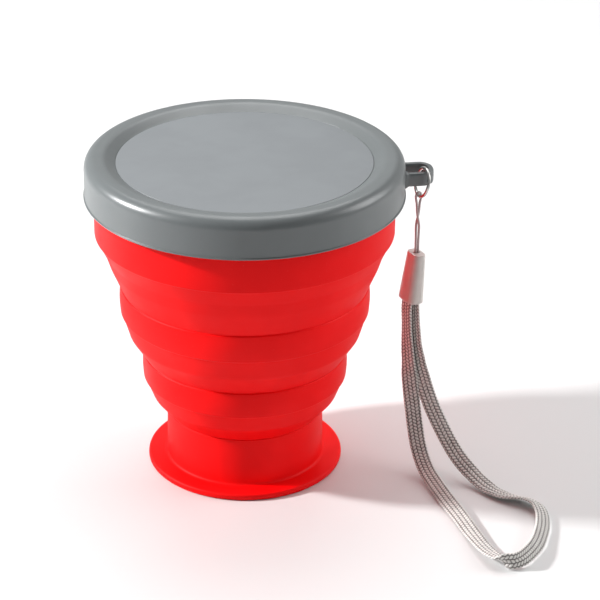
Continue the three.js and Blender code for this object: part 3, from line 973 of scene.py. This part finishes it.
# %% jump ring
RING_AROUND = 20
RING_STEPS = 120
BUTT_GAP = math.radians(1.6)
BUTT_PLACE = math.radians(140)
level_way = Vector((-math.sin(RING_TURN), math.cos(RING_TURN), 0))
face_way = RING_DOWN.cross(level_way)
rings = []
for i in range(RING_STEPS + 1):
    turned = BUTT_PLACE + BUTT_GAP / 2 + (2 * math.pi - BUTT_GAP) * i / RING_STEPS
    out_way = RING_DOWN * math.cos(turned) + level_way * math.sin(turned)
    centre = RING_CENTRE + out_way * RING_MEAN
    rings.append([
        centre + (out_way * math.cos(a) + face_way * math.sin(a)) * (RING_WIRE / 2)
        for a in (2 * math.pi * k / RING_AROUND for k in range(RING_AROUND))
    ])
jump_ring = skin("steel_jump_ring", rings, RING_STEEL)
dress(jump_ring, "ring", "ring_steel", "jump_ring")

# %% [markdown]
# ## The sleeve and its clip
#
# A small tapered sleeve of cloudy plastic hides the place where cord and webbing meet. It is one
# wall, bent round: outside, over the rounded foot, up the inside, and out through the hole in
# its top. The plastic passes some light, so the webbing and the clip inside show as a darker
# core. The clip is a folded strip of steel that bites both.


# %% sleeve finish
def cloudy(name):
    finish = Finish(name, srgb(218, 210, 204), 0.3, Transmission_Weight=0.18, IOR=1.46,
                    Subsurface_Weight=0.2, Subsurface_Radius=(0.002, 0.002, 0.002),
                    Subsurface_Scale=1.0)
    cloud = finish.noise(260, 3.0, 0.6)
    rubbed = finish.noise(900, 2.0, 0.5)
    finish.put("Base Color", finish.mix(cloud, srgb(224, 215, 209), srgb(200, 191, 186)))
    finish.put("Roughness", 0.24 + cloud * 0.14 + rubbed * 0.05)
    finish.bump(cloud * 0.6 + rubbed * 0.4, 0.05 * MM, 0.3)
    return finish.material


SLEEVE_PLASTIC = cloudy("sleeve_plastic")
print("sleeve finish made")

# %% sleeve and clip
SLEEVE_TOP = (5.4 * MM, 3.9 * MM)
SLEEVE_FOOT = (7.6 * MM, 5.3 * MM)
SLEEVE_WALL = 0.5 * MM
SLEEVE_CAP = 0.8 * MM
SLEEVE_HOLE = (1.25 * MM, 2.2 * MM)
SLEEVE_AROUND = 64
CLIP_SIZE = (2.6 * MM, 1.8 * MM, 4.0 * MM)
CLIP_DROP = 3.4 * MM
lean = Matrix.Rotation(SLEEVE_TILT, 3, "Y") @ hang_turn


def oval(width, depth, z, power=0.62):
    """A soft rectangle in the sleeve's own frame, at a height below its top."""
    ring = []
    for k in range(SLEEVE_AROUND):
        angle = 2 * math.pi * k / SLEEVE_AROUND
        spot = Vector((softened(math.cos(angle), power) * width / 2,
                       softened(math.sin(angle), power) * depth / 2, z))
        ring.append(sleeve_top + lean @ spot)
    return ring


def along_sleeve(share, inset):
    """Width and depth at a share of the way down, less an inset on every side."""
    return [top + (foot - top) * share - 2 * inset
            for top, foot in zip(SLEEVE_TOP, SLEEVE_FOOT)]


# Pairs of a share of the way down and an inset in millimetres.
outside = [(0.0, 0.45), (0.0, 0.28), (0.006, 0.1), (0.02, 0.02), (0.035, 0.0)]
outside += [(k / 12, 0.0) for k in range(1, 12)]
outside += [(0.97, 0.0), (0.99, 0.04), (1.0, 0.15)]
inside = [(1.0, 0.35), (0.99, 0.46), (0.97, 0.5)] + [(k / 12, 0.5) for k in range(11, 0, -1)]
rings = [oval(*SLEEVE_HOLE, 0.0)]
rings += [oval(*along_sleeve(s, inset * MM), -s * SLEEVE_LENGTH) for s, inset in outside]
rings += [oval(*along_sleeve(s, inset * MM), -s * SLEEVE_LENGTH) for s, inset in inside]
rings += [oval(*along_sleeve(0.06, SLEEVE_WALL), -SLEEVE_CAP), oval(*SLEEVE_HOLE, -SLEEVE_CAP)]
sleeve = skin("cloudy_strap_sleeve", rings, SLEEVE_PLASTIC, closed=True)
dress(sleeve, "strap", "sleeve_plastic", "strap_sleeve")

clip_rings = []
for share, inset in ((0.0, 0.35), (0.03, 0.12), (0.1, 0.0), (0.4, 0.0), (0.5, 0.22),
                     (0.6, 0.0), (0.9, 0.0), (0.97, 0.12), (1.0, 0.35)):
    clip_rings.append(oval(CLIP_SIZE[0] - inset * MM, CLIP_SIZE[1] - inset * MM,
                           -CLIP_DROP - share * CLIP_SIZE[2], 0.4))
clip = skin("steel_strap_clip", clip_rings, RING_STEEL)
dress(clip, "strap", "ring_steel", "strap_clip")

# %% [markdown]
# ## The sleeve's foot
#
# The webbing leaves the sleeve and goes back into it, and so does
# the thin cord at the sleeve's other end. The sleeve and the clip are the pieces on the webbing.
# Here the script finds where the sleeve's foot is.

# %% the sleeve's foot
sleeve_foot = sleeve_top + lean @ Vector((0, 0, -SLEEVE_LENGTH))
tuple(strap_places[0])
[tuple(p) for p in strap_places[::4]]
tuple(cord_places[0])
[tuple(p) for p in cord_places[::2]]
print("cords declared, sleeve foot at", [round(c / MM, 1) for c in sleeve_foot])

# %% [markdown]
# ## Table and light
#
# The table is a large pale sheet, faintly uneven so that it isn't dead flat. The light is that
# of a white room with one small strong lamp on the left, which throws the long shadow to the
# right, a weaker panel on the right, and one above and behind for the lid. The room itself is
# darker on the camera's side, which deepens the fronts of the lid and the cup.


# %% table
def table_finish():
    finish = Finish("table_white", srgb(221, 221, 221), 0.5)
    broad = finish.noise(7, 2.0, 0.5)
    finish.put("Base Color", finish.mix(broad * 0.3, srgb(222, 222, 222), srgb(214, 214, 214)))
    finish.put("Roughness", 0.45 + broad * 0.1)
    return finish.material


TABLE_SIZE = 6.0
bpy.ops.mesh.primitive_plane_add(size=TABLE_SIZE)
table = bpy.context.object
table.name = "table"
table.data.materials.append(table_finish())
print("table laid")


# %% lamps
LAMP_AIM = Vector((0, 0, 0.05))
LAMPS = {  # place with the camera in front, side in metres, watts
    "key_left": ((-1.04, 0.02, 0.62), 0.1, 21.0),
    "panel_right": ((0.8, 0.1, 0.42), 0.5, 3.4),
    "panel_above": ((0.0, 0.5, 1.05), 0.8, 6.0),
}
for name, (place, size, power) in LAMPS.items():
    data = bpy.data.lights.new(name, "AREA")
    data.size, data.energy = size, power
    light = bpy.data.objects.new(name, data)
    bpy.context.scene.collection.objects.link(light)
    light.location = seen_from_front(place)
    light.rotation_euler = (LAMP_AIM - light.location).to_track_quat("-Z", "Y").to_euler()
    print(f"{name}: {power:g} W from {size:g} m")

# %% the room
# The strength of the room's light rises from the camera's side, -Y, to the far side.
ROOM_RISE = {"From Min": -0.9, "From Max": 0.6, "To Min": 0.17, "To Max": 0.5}

world = bpy.data.worlds.new("white_room")
world.use_nodes = True
nodes, links = world.node_tree.nodes, world.node_tree.links
background = nodes["Background"]
background.inputs["Color"].default_value = (1, 1, 1, 1)
direction = nodes.new("ShaderNodeTexCoord")
split = nodes.new("ShaderNodeSeparateXYZ")
rise = nodes.new("ShaderNodeMapRange")
for socket, value in ROOM_RISE.items():
    rise.inputs[socket].default_value = value
links.new(direction.outputs["Generated"], split.inputs[0])
links.new(split.outputs["Y"], rise.inputs["Value"])
links.new(rise.outputs["Result"], background.inputs["Strength"])
bpy.context.scene.world = world
bpy.context.scene.view_settings.view_transform = "Standard"
print("room lit")
